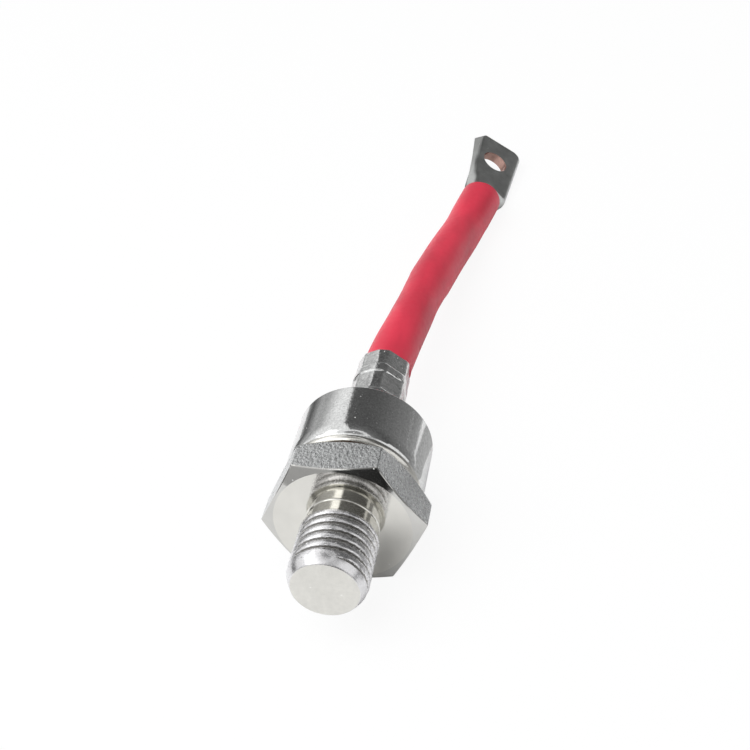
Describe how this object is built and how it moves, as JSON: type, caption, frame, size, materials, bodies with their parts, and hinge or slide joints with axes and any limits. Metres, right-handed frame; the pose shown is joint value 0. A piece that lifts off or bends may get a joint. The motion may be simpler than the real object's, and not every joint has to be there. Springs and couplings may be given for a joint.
{
  "type": "stud diode",
  "caption": "Stud-mounted rectifier diode: hexagonal base with a threaded stud, welded metal cap with a crimped lead tube, and a flexible sleeved lead ending in a flat lug.",
  "frame": {"origin": "centre of the seat face, where the hexagon meets a heat sink, on the stud axis", "axes": "+X along the stud axis from the stud towards the lead, -Z down onto the flat of the hexagon that the part lies on, +Y to the side"},
  "size_m": [0.1488, 0.0284, 0.022],
  "materials": {
    "nickel_satin": "satin nickel plate on turned copper, finely grained on the flats",
    "nickel_bright": "bright nickel plate on drawn steel and copper tube",
    "seal_glass": "dark green fused glass, glossy",
    "silver_foil": "smooth silver foil",
    "molybdenum": "lapped molybdenum, satin",
    "silicon": "polished silicon",
    "silicone_coating": "soft white silicone, matt",
    "copper": "bare copper, satin",
    "insulator": "pale insulating plastic, matt",
    "spring_steel": "oiled spring steel, satin",
    "sleeve_red": "red shrink sleeve, satin",
    "tinned_copper": "dull tinned copper tube, pressed flat"
  },
  "bodies": {
    "root": {"stud_base": "nickel_satin", "weld_ring": "nickel_bright", "cap_shell": "nickel_bright", "glass_seal": "seal_glass", "lead_tube": "nickel_bright", "contact_foil": "silver_foil", "lower_disc": "molybdenum", "silicon_wafer": "silicon", "edge_coating": "silicone_coating", "upper_disc": "molybdenum", "contact_block": "copper", "insulating_bush": "insulator", "thrust_washer": "spring_steel", "disc_spring_1": "spring_steel", "disc_spring_2": "spring_steel", "disc_spring_3": "spring_steel", "retaining_ring": "spring_steel", "inner_lead": "copper", "lead_rope": "copper", "lead_sleeve": "sleeve_red", "terminal_lug": "tinned_copper"}
  },
  "joints": []
}
